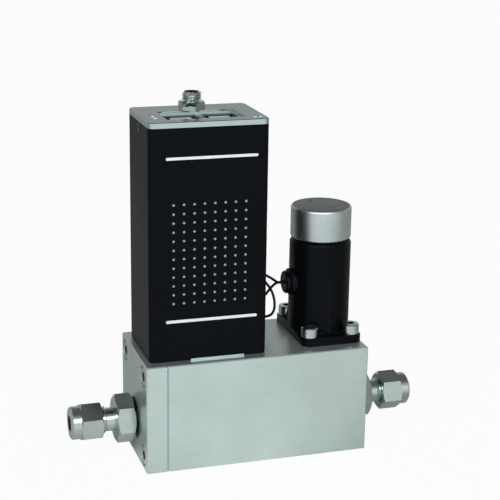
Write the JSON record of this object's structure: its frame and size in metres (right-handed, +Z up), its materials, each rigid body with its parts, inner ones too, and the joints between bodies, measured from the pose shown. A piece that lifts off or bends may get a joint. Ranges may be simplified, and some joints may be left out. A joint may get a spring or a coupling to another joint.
{
  "type": "mass flow controller",
  "caption": "Gas mass flow controller: steel flow body with tube fittings at both ends, tall dark electronics housing with sockets on top, and a round control valve with wire leads.",
  "frame": {"origin": "middle of the flow body underside, at the middle of the bounding box in plan", "axes": "+X along the gas flow from inlet to outlet, +Z up, -Y the front with the printed bars"},
  "size_m": [0.1466, 0.044, 0.1472],
  "materials": {
    "body_steel": "fine machined",
    "fitting_steel": "polished",
    "screw_steel": "plain",
    "dark_screw_steel": "black oxide",
    "dark_cover": "satin",
    "dark_anodised": "black anodised",
    "plate_aluminium": "clear anodised",
    "cap_aluminium": "turned",
    "connector_metal": "nickel plated",
    "dark_plastic": "moulded",
    "gold_contacts": "gold plated",
    "light_pipe": "clear moulded",
    "circuit_board": "lacquered",
    "core_steel": "ground",
    "copper_wire": "enamelled copper",
    "bobbin_plastic": "moulded",
    "seal_rubber": "moulded",
    "lead_insulation": "smooth"
  },
  "bodies": {
    "housing": {"board_chips": "dark_plastic", "board_header": "dark_plastic", "board_screws": "screw_steel", "board_standoffs": "screw_steel", "bracket_screws": "screw_steel", "chassis_bracket": "screw_steel", "coil_bobbin": "bobbin_plastic", "coil_winding": "copper_wire", "cover_screws": "dark_screw_steel", "downstream_winding": "copper_wire", "electronics_cover": "dark_cover", "end_plate_screws": "screw_steel", "end_plate_seal": "seal_rubber", "flow_body": "body_steel", "flow_restrictor": "core_steel", "housing_grommet": "seal_rubber", "inlet_back_ferrule": "fitting_steel", "inlet_end_plate": "body_steel", "inlet_filter_screen": "core_steel", "inlet_fitting": "fitting_steel", "inlet_fitting_seal": "seal_rubber", "inlet_front_ferrule": "fitting_steel", "inlet_nut": "fitting_steel", "interface_board": "circuit_board", "interface_posts": "screw_steel", "left_socket": "dark_plastic", "lower_lead": "lead_insulation", "main_board": "circuit_board", "orifice_seal": "seal_rubber", "orifice_seat": "core_steel", "outlet_back_ferrule": "fitting_steel", "outlet_fitting": "fitting_steel", "outlet_fitting_seal": "seal_rubber", "outlet_front_ferrule": "fitting_steel", "outlet_nut": "fitting_steel", "plunger_spring": "core_steel", "power_connector_insert": "dark_plastic", "power_connector_pins": "gold_contacts", "power_connector_shell": "connector_metal", "right_socket": "dark_plastic", "sensor_base": "body_steel", "sensor_cover": "core_steel", "sensor_screws": "screw_steel", "sensor_seals": "seal_rubber", "sensor_tube": "core_steel", "sleeve_seal": "seal_rubber", "socket_contacts": "gold_contacts", "status_lights": "light_pipe", "top_plate": "plate_aluminium", "upper_lead": "lead_insulation", "upstream_winding": "copper_wire", "valve_can": "dark_anodised", "valve_cap": "cap_aluminium", "valve_core": "core_steel", "valve_grommet": "seal_rubber", "valve_screws": "screw_steel", "valve_sleeve": "core_steel", "yoke_washer": "core_steel"},
    "plunger": {"plunger": "core_steel", "plunger_seal": "seal_rubber"}
  },
  "joints": [
    {"name": "plunger_lift", "type": "slide", "parent": "housing", "child": "plunger", "axis": [0, 0, 1], "range_m": [0, 0.0004], "stiffness_N_per_m": 3000, "springref_m": -0.0015, "deforming": ["plunger_spring"]}
  ]
}
